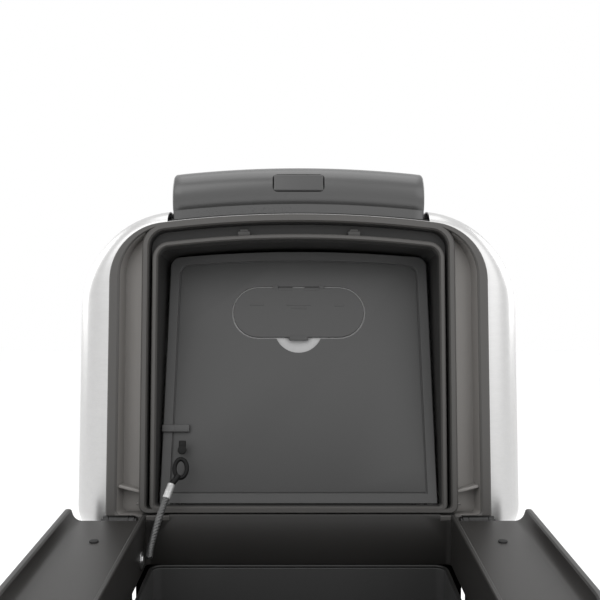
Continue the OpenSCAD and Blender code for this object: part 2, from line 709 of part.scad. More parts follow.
module plate_frame() {
    // hub height above the plate's face, measured square to the plate
    hub_s = (axle_v - plate_back_v) * cos(plate_tilt) + (axle_w - plate_back_w) * sin(plate_tilt);
    hub_h = (axle_w - plate_back_w) * cos(plate_tilt) - (axle_v - plate_back_v) * sin(plate_tilt);
    color("silver") on_plate() {
        both_sides() difference() {
            union() {
                translate([frame_x - arm_t, hub_s, hub_h]) rotate([0, 90, 0])
                    cylinder(r = hub_r, h = arm_t);
                translate([frame_x - arm_t, 6, plate_t]) cube([arm_t, plate_len - 40, 10]);
            }
            translate([frame_x - arm_t - 1, hub_s, hub_h]) rotate([0, 90, 0])
                cylinder(r = axle_r + run_fit, h = arm_t + 2);
        }
        translate([arm_t - frame_x, pocket_s - 19.5, plate_t]) cube([2 * (frame_x - arm_t), 14, 5]);
    }
}
module plate_screws() {
    color("silver") on_plate() both_sides() for (s = [40, 105, 170])
        translate([frame_x - arm_t - 7, s, plate_t]) cylinder(r = 3.2, h = 3);
}
module plate_hook() {
    color([0.2, 0.2, 0.2]) on_plate() {
        translate([hook_x, hook_s, -9]) cylinder(r = 2.5, h = 9 + panel_drop);
        translate([hook_x, hook_s, -11]) cylinder(r = 4.2, h = 2);
        translate([border + 1 - plate_x, 67.5, -3]) cube([plate_x - border - 106, 7, 3 + panel_drop]);
        translate([-plate_x, 67.5, -3]) cube([border + 2, 7, 3]);
    }
}
module return_springs() {
    color("silver") opened() both_sides() difference() {
        rod(axle_v, axle_w, 8, frame_x - arm_t - 16, frame_x - arm_t - 1);
        rod(axle_v, axle_w, 6, frame_x - arm_t - 17, frame_x - arm_t);
    }
}
module filter_tray() {
    color("gray") on_plate() difference() {
        translate([-pocket_l / 2, pocket_s, plate_t])
            cube([pocket_l, cover_h + 30, 16]);
        translate([-pocket_l / 2 + 3, pocket_s + 5, plate_t - 1])
            cube([pocket_l - 6, cover_h + 21, 14]);
    }
}
module carbon_filter() {
    color([0.1, 0.1, 0.1]) on_plate() translate([-cover_w / 2 + 4, pocket_s + 10, plate_t + 6])
        cube([cover_w - 8, cover_h + 10, 6]);
}
module filter_cover() {
    color([0.28, 0.28, 0.28]) on_plate() difference() {
        linear_extrude(plate_t) cover_outline(0);
        translate([-60, cover_s + cover_h / 2 - 2, -1]) cube([120, 10, 20]);
    }
    // hinge leaves with their barrels and pins
    color([0.28, 0.28, 0.28]) on_plate() both_sides() {
        translate([6, door_s - 2, 0]) cube([door_x - 6, 2, plate_t]);
        door_rod(plate_t / 2, 6, door_x);
        door_rod(door_pin_r, door_x - 1, door_x + 5);
    }
}

base_plinth();
rubber_feet();
body_shell();
rear_panel();
top_collar();
collar_bumpers();
hinge_brackets();
hinge_pins();
stay_anchor();
stay_cable();
stay_ferrule();
stay_loop();
bucket_shell();
bag_ring();
lid_skin();
lid_liner();
lid_deck();
deck_walls();
lid_hinge_arms();
axle_brackets();
compaction_axle();
axle_clips();
channel_clips();
latch_keeper();
handle_shell();
handle_cover();
handle_arms();
handle_end_caps();
handle_screws();
release_button();
button_spring();
latch_bolt();
compaction_plate();
plate_frame();
plate_screws();
plate_hook();
return_springs();
filter_tray();
carbon_filter();
filter_cover();
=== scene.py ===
"""Manual kitchen trash compactor with its lid open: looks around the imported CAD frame.

Sizes are in millimetres in the lid's own coordinates, and MM brings them to metres. On the
closed lid, v runs from the lid's hinge axis to the front and w runs up from the closing plane.
"""
import json
import math

import bmesh
import bpy
from mathutils import Matrix, Vector


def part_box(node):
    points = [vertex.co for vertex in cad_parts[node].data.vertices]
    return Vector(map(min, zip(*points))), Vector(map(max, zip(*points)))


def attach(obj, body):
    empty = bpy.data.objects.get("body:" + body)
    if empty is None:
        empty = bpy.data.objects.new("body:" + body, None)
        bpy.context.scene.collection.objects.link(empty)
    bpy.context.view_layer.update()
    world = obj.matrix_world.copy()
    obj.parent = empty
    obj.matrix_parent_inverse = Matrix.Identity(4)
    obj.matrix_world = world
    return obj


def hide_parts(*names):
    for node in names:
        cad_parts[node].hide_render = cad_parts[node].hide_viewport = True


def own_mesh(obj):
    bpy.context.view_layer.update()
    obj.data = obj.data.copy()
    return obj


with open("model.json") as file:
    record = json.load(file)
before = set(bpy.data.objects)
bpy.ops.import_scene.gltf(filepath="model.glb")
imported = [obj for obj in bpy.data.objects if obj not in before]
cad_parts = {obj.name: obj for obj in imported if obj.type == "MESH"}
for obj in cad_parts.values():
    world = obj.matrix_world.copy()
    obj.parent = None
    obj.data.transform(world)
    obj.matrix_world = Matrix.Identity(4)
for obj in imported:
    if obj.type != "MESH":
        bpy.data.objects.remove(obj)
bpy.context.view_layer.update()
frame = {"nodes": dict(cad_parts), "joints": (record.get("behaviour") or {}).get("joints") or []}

MM = 0.001
JOINTS = {joint["name"]: joint for joint in frame["joints"]}


def millimetres(node):
    low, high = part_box(node)
    return low / MM, high / MM


# ---------------------------------------------------------------- driving sizes
BODY_LOW, BODY_HIGH = millimetres("body_shell")
HALF = BODY_HIGH.x
FRONT, BACK = BODY_LOW.y, BODY_HIGH.y
HINGE = Vector(JOINTS["lid_hinge"]["pos_m"]) / MM
OPEN = math.radians(-JOINTS["lid_hinge"]["range_deg"][0])
RIM = HINGE.z + 8
LID_FRONT = HINGE.y - FRONT
BOW_RADIUS = 1090
BOW_Y = FRONT + BOW_RADIUS
FRONT_R, BACK_R = 98, 25
STEEL_T = 1.2
SEAM_INSET = 60
BULLNOSE = 34
EDGE_R = 20
SQUEEZE_W = 55.4
AXLE = Vector((24, 20))
TOP_R = 36
DECK_R = 23
SLOPE = math.radians(10.56)
LEVEL_V = LID_FRONT - 45
SWEEP_R = 269.3
RIM_OUT = HALF - 65.7
RIM_FRONT = LID_FRONT - 16.4
INNER_OUT = RIM_OUT - 10.1
INNER_FRONT = RIM_FRONT - 18.6
WELL_X = INNER_OUT - 3.2
LINER_T = 1.6
PLATE_TILT = math.radians(10.35)
PLATE_BACK = Vector((16, 5))
PLATE_X = WELL_X - 4
PLATE_LEN = (INNER_FRONT - 9.5 - PLATE_BACK.x) / math.cos(PLATE_TILT)
PLATE_T = 2.6
PLATE_BOW = 1300
PLATE_TAPER = 2.5
COVER_S = 187
COVER_W, COVER_H = 131, 51
COVER_LOW, COVER_TOP = COVER_S - COVER_H / 2, COVER_S + COVER_H / 2
COVER_GAP = 1.4
TAB_HALF = 9.2
DOOR_S, DOOR_Z = 212.2, 1.3
DOOR_X = 20
HOOK_X, HOOK_S = -(PLATE_X - 21), 49.5
BAR_R = 24
BAR = Vector((LID_FRONT + 11, 22))
BUTTON_TURN = math.radians(166)
HANDLE_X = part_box("handle_shell")[1].x / MM
COLLAR_LOW, COLLAR_HIGH = millimetres("top_collar")
TROUGH_Z = RIM - 26
OPENING_GAP = 0.6
BUCKET_LOW, BUCKET_HIGH = millimetres("bucket_shell")


# ---------------------------------------------------------------- camera, light and floor
CAMERA_PLACE = (0.0014, -0.6759, 0.8604)
CAMERA_TILT = math.radians(85.869)
CAMERA_LENS = 54
AIM = Vector((0, 0.05, 0.6))


def studio():
    """Camera, white surroundings, five soft lights and a pale floor."""
    bpy.ops.object.camera_add(location=CAMERA_PLACE, rotation=(CAMERA_TILT, 0, 0))
    camera = bpy.context.object
    camera.data.lens = CAMERA_LENS
    camera.data.sensor_width = 36
    bpy.context.scene.camera = camera

    world = bpy.data.worlds.new("Studio")
    world.use_nodes = True
    world.node_tree.nodes["Background"].inputs["Color"].default_value = (1, 1, 1, 1)
    world.node_tree.nodes["Background"].inputs["Strength"].default_value = 1.0
    bpy.context.scene.world = world
    bpy.context.scene.view_settings.view_transform = "Standard"

    lights = (("Key", (-0.9, -1.3, 2.3), 1.5, 9), ("Fill", (1.2, -1.2, 1.7), 1.6, 6),
              ("Top", (0, 0.5, 2.6), 1.6, 9), ("Back_left", (-1.6, 1.0, 1.3), 1.2, 8),
              ("Back_right", (1.6, 1.0, 1.3), 1.2, 8))
    for name, place, size, power in lights:
        bpy.ops.object.light_add(type="AREA", location=place)
        light = bpy.context.object
        light.name = name
        light.data.size = size
        light.data.energy = power
        light.rotation_euler = (AIM - Vector(place)).to_track_quat("-Z", "Y").to_euler()

    bpy.ops.mesh.primitive_plane_add(size=12, location=(0, 0, 0))
    floor = bpy.context.object
    floor.name = "Floor"
    return floor


# ---------------------------------------------------------------- shader maths
class Value:
    """A shader socket. The operators on it add Math nodes to its material."""

    def __init__(self, paint, socket):
        self.paint, self.socket = paint, socket

    def math(self, operation, other=0.0, flip=False):
        pair = (other, self) if flip else (self, other)
        return self.paint.node("ShaderNodeMath", {"operation": operation}, pair)

    def __add__(self, other):
        return self.math("ADD", other)

    def __sub__(self, other):
        return self.math("SUBTRACT", other)

    def __rsub__(self, other):
        return self.math("SUBTRACT", other, True)

    def __mul__(self, other):
        return self.math("MULTIPLY", other)

    def __truediv__(self, other):
        return self.math("DIVIDE", other)

    def __pow__(self, other):
        return self.math("POWER", other)

    __radd__, __rmul__ = __add__, __mul__


class Paint:
    """One material: a Principled shader and the nodes that feed it."""

    def __init__(self, name):
        self.material = bpy.data.materials.new(name)
        self.material.use_nodes = True
        self.tree = self.material.node_tree
        self.shader = self.tree.nodes["Principled BSDF"]

    def feed(self, socket, value):
        if isinstance(value, Value):
            self.tree.links.new(value.socket, socket)
        else:
            socket.default_value = value

    def node(self, kind, settings=None, values=(), output=0):
        made = self.tree.nodes.new(kind)
        for key, value in (settings or {}).items():
            setattr(made, key, value)
        for key, value in (values.items() if isinstance(values, dict) else enumerate(values)):
            self.feed(made.inputs[key], value)
        return Value(self, made.outputs[output])

    def set(self, **values):
        for key, value in values.items():
            self.feed(self.shader.inputs[key.replace("_", " ")], value)
        return self

    def place(self, stretch=(1, 1, 1)):
        spot = self.node("ShaderNodeTexCoord", output="Object")
        return self.node("ShaderNodeMapping", {}, {"Vector": spot, "Scale": stretch})

    def noise(self, scale, detail=3, rough=0.55, stretch=(1, 1, 1)):
        values = {"Vector": self.place(stretch), "Scale": scale, "Detail": detail, "Roughness": rough}
        return self.node("ShaderNodeTexNoise", {}, values)

    def between(self, low, high, factor):
        return self.node("ShaderNodeMix", {"data_type": "RGBA"}, {0: factor, 6: low, 7: high}, output=2)

    def bump(self, height, strength, distance):
        return self.node("ShaderNodeBump", {}, {"Height": height, "Strength": strength, "Distance": distance})


def grey(level, warm=0.0):
    return (level * (1 + warm), level, level * (1 - warm), 1)


def moulded(name, level, warm=0.0, rough=0.5, grain=0.25, spread=0.18, specular=0.45):
    """Moulded plastic with a fine spark-eroded grain, soft mottling and handled patches."""
    paint = Paint(name)
    cloud = paint.noise(9, 4)
    fine = paint.noise(1900, 2, 0.6)
    pores = paint.noise(520, 3, 0.5)
    tone = cloud * 0.65 + fine * 0.35
    colour = paint.between(grey(level * (1 - spread), warm), grey(level * (1 + spread), warm), tone)
    relief = fine * 0.6 + pores * 0.4
    return paint.set(Base_Color=colour, Roughness=rough - 0.06 + cloud * 0.1 + fine * 0.05,
                     Specular_IOR_Level=specular,
                     Normal=paint.bump(relief, grain, 0.0002)).material


def step_up(value, start, steepness):
    """A factor that climbs from 0 to 1 just past a place."""
    return ((value - start) * steepness).math("MINIMUM", 1).math("MAXIMUM", 0)


def liner_with_painted_light_and_shade(name, level, hollow_painted_light, deep_painted_shade):
    """The lid liner's plastic with painted light and shade: painted light makes the wing hollows paler, and
    painted shade makes the channel and the well darker.
    """
    paint = Paint(name)
    cloud = paint.noise(9, 4)
    fine = paint.noise(1900, 2, 0.6)
    spot = paint.node("ShaderNodeTexCoord", output="Object")
    x, y, z = (paint.node("ShaderNodeSeparateXYZ", {}, {"Vector": spot}, output=k) for k in range(3))
    start = opened_spot(0, 0)
    depth = (y - start.y) * math.sin(OPEN) + (z - start.z) * math.cos(OPEN)
    # painted shade: this mask picks out the places sunk below the rim faces, so the channel and the well get
    # a darker colour
    painted_shade_depth = step_up(depth, 0.5 * MM, 1200)
    # painted light: this mask picks out the wing hollows, so they get a paler colour
    wing = step_up(x.math("ABSOLUTE"), (RIM_OUT - 2) * MM, 600)
    # painted shade down in the channel and the well, painted light in the wing hollows
    inside = paint.between(grey(deep_painted_shade, 0.03), grey(hollow_painted_light, 0.045), wing)
    base = paint.between(grey(level, 0.045), inside, painted_shade_depth)
    mottle = paint.between(grey(0.8), grey(1.0), cloud * 0.6 + fine * 0.4)
    colour = paint.node("ShaderNodeMix", {"data_type": "RGBA", "blend_type": "MULTIPLY"},
                        {0: 1.0, 6: base, 7: mottle}, output=2)
    return paint.set(Base_Color=colour, Roughness=0.42 + cloud * 0.1 + fine * 0.05,
                     Normal=paint.bump(fine, 0.15, 0.0002)).material


def brushed(name, level, along, rough=0.3, strength=0.12):
    """Brushed stainless steel: long hairlines along one axis over a faint cloudiness."""
    paint = Paint(name)
    across = tuple(1 if axis == along else 60 for axis in "XYZ")
    hair = paint.noise(14, 4, 0.7, across)
    long_hair = paint.noise(5, 2, 0.6, tuple(1 if axis == along else 34 for axis in "XYZ"))
    cloud = paint.noise(3, 3)
    tone = hair * 0.6 + long_hair * 0.4
    colour = paint.between(grey(level * 0.88, 0.004), grey(min(1, level * 1.1), 0.004), tone)
    return paint.set(Base_Color=colour, Metallic=1.0, Roughness=rough - 0.05 + tone * 0.12 + cloud * 0.04,
                     Normal=paint.bump(tone, strength, 0.0001)).material


def plated(name, low, high):
    """Zinc-plated or blackened steel with a mottled grain."""
    paint = Paint(name)
    spangle = paint.noise(240, 3)
    return paint.set(Base_Color=paint.between(grey(low), grey(high), spangle), Metallic=1.0,
                     Roughness=0.28 + spangle * 0.16, Normal=paint.bump(spangle, 0.1, 0.0001)).material


def make_materials():
    floor = Paint("Pale_floor")
    cloud = floor.noise(4, 3)
    floor.set(Base_Color=floor.between(grey(0.86), grey(0.9), cloud), Roughness=0.6 + cloud * 0.1,
              Emission_Color=(1, 1, 1, 1), Emission_Strength=0.12)
    foam = Paint("Carbon_foam")
    cells = foam.node("ShaderNodeTexVoronoi", {}, {"Vector": foam.place(), "Scale": 420.0})
    foam.set(Base_Color=foam.between(grey(0.006), grey(0.05), cells), Roughness=0.9,
             Normal=foam.bump(cells, 0.8, 0.0012))
    sleeve = Paint("Clear_sleeve")
    streak = sleeve.noise(60, 3, 0.6, (1, 1, 6))
    sleeve.set(Base_Color=sleeve.between(grey(0.22), grey(0.75), streak), Roughness=0.12 + streak * 0.1,
               Coat_Weight=0.6, Metallic=0.35)
    braid = Paint("Braided_cable")
    wire = braid.noise(900, 2)
    braid.set(Base_Color=braid.between(grey(0.03), grey(0.2), wire), Metallic=0.7,
              Roughness=0.32 + wire * 0.2, Normal=braid.bump(wire, 0.3, 0.0003))
    return {
        "floor": floor.material,
        "steel": brushed("Brushed_steel_body", 0.46, "X", 0.3, 0.2),
        "lid_steel": brushed("Brushed_steel_lid", 0.6, "X", 0.32, 0.14),
        "bright_steel": plated("Plated_steel", 0.42, 0.62),
        "dark_steel": plated("Blackened_steel", 0.03, 0.06),
        "black": moulded("Black_plastic", 0.012, 0.02, 0.42),
        "hook": moulded("Hook_plastic", 0.004, 0.0, 0.5, 0.25, 0.18, 0.2),
        "collar": moulded("Collar_plastic", 0.021, 0.05, 0.4, 0.2),
        # the liner's colour holds painted light in the wing hollows and painted shade in the channel and the
        # well
        "liner": liner_with_painted_light_and_shade("Liner_plastic_painted_light_and_shade", 0.075, 0.24, 0.02),
        "clip": moulded("Clip_plastic", 0.05, 0.03, 0.46, 0.2),
        "handle": moulded("Handle_plastic", 0.04, 0.0, 0.27, 0.12, 0.1, 0.9),
        "button": moulded("Button_plastic", 0.06, 0.0, 0.3, 0.1),
        "plate": moulded("Plate_plastic", 0.062, 0.0, 0.55, 0.4, 0.12),
        "tray": moulded("Tray_plastic", 0.4, 0.0, 0.5),
        "bucket": moulded("Bucket_plastic", 0.05, 0.0, 0.4),
        "rubber": moulded("Rubber", 0.014, 0.0, 0.75, 0.5),
        "foam": foam.material, "sleeve": sleeve.material, "braid": braid.material,
    }


# ---------------------------------------------------------------- outlines and sections
def arc(cx, cy, radius, start, end, steps):
    turns = [start + (end - start) * i / steps for i in range(steps + 1)]
    return [(cx + radius * math.cos(math.radians(a)), cy + radius * math.sin(math.radians(a))) for a in turns]


def outline(half, front, back, front_r, back_r):
    """Outline seen from above: straight sides, flat back and a front that bows with BOW_Y."""
    big, side = BOW_Y - front, half - front_r
    corner = BOW_Y - math.sqrt((big - front_r) ** 2 - side ** 2)
    lean = math.degrees(math.atan2(corner - BOW_Y, side))
    step = (90 + lean) / 9 + 3
    return (arc(0, BOW_Y, big, -180 - lean, lean, 24)
            + arc(side, corner, front_r, lean + step, 0, 15)
            + [(half, corner + (back - back_r - corner) * k / 6) for k in range(1, 6)]
            + arc(half - back_r, back - back_r, back_r, 0, 90, 8)
            + [((half - back_r) * (1 - k / 6), back) for k in range(1, 12)]
            + arc(back_r - half, back - back_r, back_r, 90, 180, 8)
            + [(-half, corner + (back - back_r - corner) * k / 6) for k in range(5, 0, -1)]
            + arc(-side, corner, front_r, 180, 180 - lean - step, 15))


def ring(half, v_front, v_back, front_r, back_r, w):
    """A level ring of the lid or the collar, from places along v; w may depend on v."""
    points = outline(half, HINGE.y - v_front, HINGE.y - v_back, front_r, back_r)
    return [(x, y, RIM + (w(HINGE.y - y) if callable(w) else w)) for x, y in points]


def body_ring(inset, z):
    points = outline(HALF - inset, FRONT + inset, BACK - inset, FRONT_R - inset, max(BACK_R - inset, 4))
    return [(x, y, z) for x, y in points]


def on_slope(radius, v):
    """Height w, above v, of the line that is parallel to the lid's top at a distance from the axle."""
    touch = AXLE + radius * Vector((-math.sin(SLOPE), math.cos(SLOPE)))
    return touch.y + (v - touch.x) * math.tan(SLOPE)


def top_at(v):
    """Height w of the lid's top at v: the barrel, then the slope, then level."""
    if v < AXLE.x - TOP_R * math.sin(SLOPE):
        return AXLE.y + math.sqrt(max(0, TOP_R ** 2 - (AXLE.x - v) ** 2))
    return on_slope(TOP_R, min(v, LEVEL_V))


def squeeze(v):
    """Flattens the rolled edges where the lid's back is lower than they are high."""
    return min(1, top_at(v) / SQUEEZE_W)


def bow_shift(x):
    """How far the bowed front lies behind its middle at X = x."""
    return BOW_RADIUS - math.sqrt(BOW_RADIUS ** 2 - x * x)


def bow_share(v):
    """How much of the bow a place at v follows."""
    return min(1, max(0, (v - 120) / 120))


# ---------------------------------------------------------------- modelling helpers
def opened_spot(v, w):
    """Place in metres, in the plane X = 0, of a (v, w) place on the open lid."""
    turn = Matrix.Rotation(-OPEN, 3, "X")
    return (turn @ (Vector((0, HINGE.y - v, RIM + w)) - HINGE) + HINGE) * MM


def start_object(add, name, **options):
    """Adds a primitive with nothing else selected, so operators touch only the new piece."""
    bpy.ops.object.select_all(action="DESELECT")
    add(**options)
    piece = bpy.context.object
    piece.name = name
    piece.data.name = name
    return piece


def choose(piece):
    """Makes one piece the only selected and the active object."""
    bpy.ops.object.select_all(action="DESELECT")
    bpy.context.view_layer.objects.active = piece
    piece.select_set(True)


def edit(piece):
    choose(piece)
    bpy.ops.object.mode_set(mode="EDIT")
    return bmesh.from_edit_mesh(piece.data)


def leave(piece, recalculate=True):
    if recalculate:
        bpy.ops.mesh.select_all(action="SELECT")
        bpy.ops.mesh.normals_make_consistent(inside=False)
    bpy.ops.object.mode_set(mode="OBJECT")
    return piece


def delete_faces(piece, unwanted):
    """Deletes, in edit mode, each face whose middle in millimetres passes a test."""
    bpy.ops.mesh.select_mode(type="FACE")
    bpy.ops.mesh.select_all(action="DESELECT")
    cage = bmesh.from_edit_mesh(piece.data)
    for face in cage.faces:
        face.select = unwanted(face.calc_center_median() / MM)
    bmesh.update_edit_mesh(piece.data)
    bpy.ops.mesh.delete(type="FACE")


def pick_verts(cage, indices):
    bpy.ops.mesh.select_all(action="DESELECT")
    cage.verts.ensure_lookup_table()
    for i in indices:
        cage.verts[i].select = True
    cage.select_flush_mode()
    bmesh.update_edit_mesh(bpy.context.object.data)


def loft(name, rings, caps=(True, True), endless=False):
    """Skin over a stack of rings in millimetres, extruded ring by ring from a circle."""
    count = len(rings[0])
    piece = start_object(bpy.ops.mesh.primitive_circle_add, name, vertices=count, radius=1)
    cage = edit(piece)
    bpy.ops.mesh.select_mode(type="VERT")
    bpy.ops.mesh.select_all(action="SELECT")
    cage.verts.ensure_lookup_table()
    for vert, point in zip(cage.verts, rings[0]):
        vert.co = Vector(point) * MM
    last = list(range(count))
    for points in rings[1:]:
        bpy.ops.mesh.extrude_region_move()
        cage = bmesh.from_edit_mesh(piece.data)
        cage.verts.ensure_lookup_table()
        cage.verts.index_update()
        last = [next(e.other_vert(cage.verts[i]).index for e in cage.verts[i].link_edges
                     if e.other_vert(cage.verts[i]).select) for i in last]
        for i, point in zip(last, points):
            cage.verts[i].co = Vector(point) * MM
    if endless:
        pick_verts(cage, last + list(range(count)))
        bpy.ops.mesh.bridge_edge_loops()
    else:
        for wanted, chosen in zip(caps, (range(count), last)):
            if wanted:
                cage = bmesh.from_edit_mesh(piece.data)
                pick_verts(cage, chosen)
                bpy.ops.mesh.edge_face_add()
    return leave(piece)


def modify(piece, kind, **settings):
    """Adds a modifier with its settings and applies it."""
    choose(piece)
    modifier = piece.modifiers.new(kind.title(), kind)
    for key, value in settings.items():
        setattr(modifier, key, value)
    bpy.ops.object.modifier_apply(modifier=modifier.name)
    return piece


def cut(piece, cutter, operation="DIFFERENCE"):
    modify(piece, "BOOLEAN", object=cutter, operation=operation, solver="EXACT")
    bpy.data.objects.remove(cutter)
    return piece


def join(name, pieces):
    bpy.ops.object.select_all(action="DESELECT")
    for piece in pieces:
        piece.select_set(True)
    bpy.context.view_layer.objects.active = pieces[0]
    if len(pieces) > 1:
        bpy.ops.object.join()
    pieces[0].name = name
    return pieces[0]


def smooth(piece, angle=35):
    choose(piece)
    bpy.ops.object.shade_smooth_by_angle(angle=math.radians(angle))
    return piece


def block(name, low, high, bevel=0.6, segments=3):
    """A box between two corners in millimetres, with its edges rounded."""
    low, high = Vector(low), Vector(high)
    piece = start_object(bpy.ops.mesh.primitive_cube_add, name, size=1, location=(low + high) / 2 * MM)
    piece.scale = (high - low) * MM
    bpy.ops.object.transform_apply(location=True, rotation=True, scale=True)
    if bevel:
        edit(piece)
        bpy.ops.mesh.select_all(action="SELECT")
        bpy.ops.mesh.bevel(offset=bevel * MM, segments=segments, affect="EDGES")
        leave(piece)
    return piece


def rod(name, start, end, radius, bevel=0.4, vertices=40):
    """A round bar between two points in millimetres, with its ends rounded."""
    start, end = Vector(start), Vector(end)
    piece = start_object(bpy.ops.mesh.primitive_cylinder_add, name, vertices=vertices, radius=radius * MM,
                         depth=(end - start).length * MM)
    piece.data.transform(Matrix.Translation((start + end) / 2 * MM)
                         @ (end - start).to_track_quat("Z", "Y").to_matrix().to_4x4())
    if bevel:
        modify(piece, "BEVEL", width=bevel * MM, segments=3, limit_method="ANGLE",
               angle_limit=math.radians(40))
    return piece


def opened(piece):
    """Swings a piece made on the closed lid to where the open lid holds it."""
    hinge = Matrix.Translation(HINGE * MM)
    piece.data.transform(hinge @ Matrix.Rotation(-OPEN, 4, "X") @ hinge.inverted())
    return piece


def on_plate(piece):
    """Takes a piece from (X, distance along the plate, height into the lid) to the open lid."""
    base = Matrix.Translation(Vector((0, HINGE.y - PLATE_BACK.x, RIM + PLATE_BACK.y)) * MM)
    piece.data.transform(base @ Matrix.Rotation(-PLATE_TILT, 4, "X") @ Matrix.Scale(-1, 4, (0, 1, 0)))
    edit(piece)
    leave(piece)
    return opened(piece)


def dress(piece, material, body, slot, *nodes, angle=35):
    """Finishes a piece: its material, its shading, the body it rides on and the nodes it stands for."""
    piece.data.materials.clear()
    piece.data.materials.append(MATERIALS[material])
    smooth(piece, angle)
    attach(piece, body)
    if nodes:
        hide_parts(*nodes)
    return piece


# ---------------------------------------------------------------- bin
def make_body_shell():
    """The steel sheet round the bin, open at the back between its two seams."""
    seam = HALF - SEAM_INSET
    low, high = BODY_LOW.z, BODY_HIGH.z
    rings = [body_ring(1.0, low), body_ring(0.1, low + 0.8)]
    rings += [body_ring(0, low + 1 + (high - low - 2) * k / 8) for k in range(9)]
    piece = loft("Body_shell", rings + [body_ring(0.1, high - 0.8), body_ring(1.0, high)], (False, False))
    edit(piece)
    delete_faces(piece, lambda centre: centre.y > BACK - 2 and abs(centre.x) < seam)
    leave(piece)
    modify(piece, "SOLIDIFY", thickness=STEEL_T * MM, offset=-1)
    dress(piece, "steel", "bin", "steel", "body_shell", angle=30)


def make_rear_panel():
    """The plastic panel between the seams, with three rows of air slots."""
    low, high = millimetres("rear_panel")
    piece = block("Rear_panel", (low.x, BACK - 2.2, low.z), (high.x, BACK - 0.2, high.z), 0.5)
    for i in range(-2, 3):
        for row in range(3):
            top = high.z - 40 + 8 * row
            cut(piece, block("Slot", (i * 50 - 16, BACK - 8, top), (i * 50 + 16, BACK + 5, top + 3), 1.2))
    dress(piece, "black", "bin", "black_plastic", "rear_panel")


def make_plinth():
    """The base, stepped in under the steel."""
    rings = [body_ring(6, 0), body_ring(4.6, 0.5), body_ring(4, 2), body_ring(4, 9), body_ring(2.6, 10.6),
             body_ring(2.2, 11.6), body_ring(2.2, 38), body_ring(3, 39.6), body_ring(5, 40)]
    dress(loft("Base_plinth", rings), "black", "bin", "black_plastic", "base_plinth")


def make_feet():
    """Four rubber feet, each dished underneath."""
    low, high = millimetres("rubber_feet")
    feet = []
    for x in (low.x + 15, high.x - 15):
        for y in (low.y + 15, high.y - 15):
            foot = rod("Foot", (x, y, low.z), (x, y, high.z), 15, 0.8, 64)
            feet.append(cut(foot, rod("Dish", (x, y, low.z - 1), (x, y, low.z + 1), 6, 0.3, 48)))
    dress(join("Rubber_feet", feet), "rubber", "bin", "rubber", "rubber_feet")


def make_collar():
    """Outer wall, narrow lip, shallow dish, raised lip round the opening, and the opening's wall."""
    low = COLLAR_LOW.z
    flat = RIM - 1.5
    lip_top = COLLAR_HIGH.z
    mouth_top = RIM + 5

    def rim(inset, front, z):
        points = outline(HALF - inset, FRONT + front, BACK - min(inset, 3), FRONT_R - front,
                         max(BACK_R - inset, 6))
        return [(x, y, z) for x, y in points]

    def opening(grow, z):
        half = INNER_OUT + OPENING_GAP + grow
        points = outline(half, HINGE.y - INNER_FRONT - 4 - grow, HINGE.y - 16 + grow / 2, 16 + grow, 5)
        return [(x, y, z) for x, y in points]

    rings = [rim(2, 2, low), rim(0.5, 0.5, low + 0.5), rim(0, 0, low + 1.5), rim(0, 0, low + 20),
             rim(0, 0, lip_top - 2.2), rim(0.7, 0.6, lip_top - 0.7), rim(2.2, 1.4, lip_top),
             rim(5, 2, lip_top), rim(6.6, 2.4, lip_top - 1)]
    # the dish falls from the lip to the flat on a quarter of an ellipse
    for k in range(1, 7):
        turn = math.radians(15 * k)
        rings.append(rim(7 + 9 * (1 - math.cos(turn)), 2.5 + 4 * (1 - math.cos(turn)),
                         lip_top - 1 - (lip_top - flat - 1) * math.sin(turn)))
    rings += [opening(9, flat), opening(5.2, flat), opening(4.2, flat + 1), opening(4, mouth_top - 0.8),
              opening(3.2, mouth_top), opening(0.8, mouth_top), opening(0, mouth_top - 0.8),
              opening(0, RIM - 20), opening(0, low + 1), opening(1, low)]
    piece = loft("Top_collar", rings, endless=True)
    # room for the handle at the front, the hinge at the back, the liner's inner rim and the cable
    notch = HANDLE_X + 6
    cut(piece, block("Notch", (-notch, FRONT - 20, flat + 0.2), (notch, FRONT + 34, RIM + 30), 3, 4))
    back = HINGE.y - 13
    cut(piece, block("Trough", (-HALF - 9, back, TROUGH_Z), (HALF + 9, BACK + 30, RIM + 40), 2, 3))
    for side in (-1, 1):
        low, high = sorted((side * (WELL_X - 6), side * (INNER_OUT + OPENING_GAP)))
        cut(piece, block("Rim_notch", (low, back - 6, RIM - 0.6), (high, back + 1, RIM + 9), 0.3, 2))
    cut(piece, block("Cable_notch", (-131.7, back - 6, RIM - 0.6), (-118.5, back + 1, RIM + 9), 0.8, 3))
    dress(piece, "collar", "bin", "collar_plastic", "top_collar", angle=30)


def make_bumpers():
    """Four rubber discs that the closed lid rests on."""
    low, high = millimetres("collar_bumpers")
    spots = [(x, y) for x in (low.x + 4, high.x - 4) for y in (low.y + 4, high.y - 4)]
    discs = [rod("Bumper", (x, y, low.z - 0.4), (x, y, high.z), 4, 0.5) for x, y in spots]
    dress(join("Collar_bumpers", discs), "rubber", "bin", "rubber", "collar_bumpers")


# ---------------------------------------------------------------- bucket
def bucket_ring(inset, z):
    """A level ring of the bucket, set in from its outside."""
    low, high = BUCKET_LOW, BUCKET_HIGH
    points = outline(high.x - inset, low.y + inset, high.y - inset, max(19 - inset, 3), max(12 - inset, 3))
    return [(x, y, z) for x, y in points]


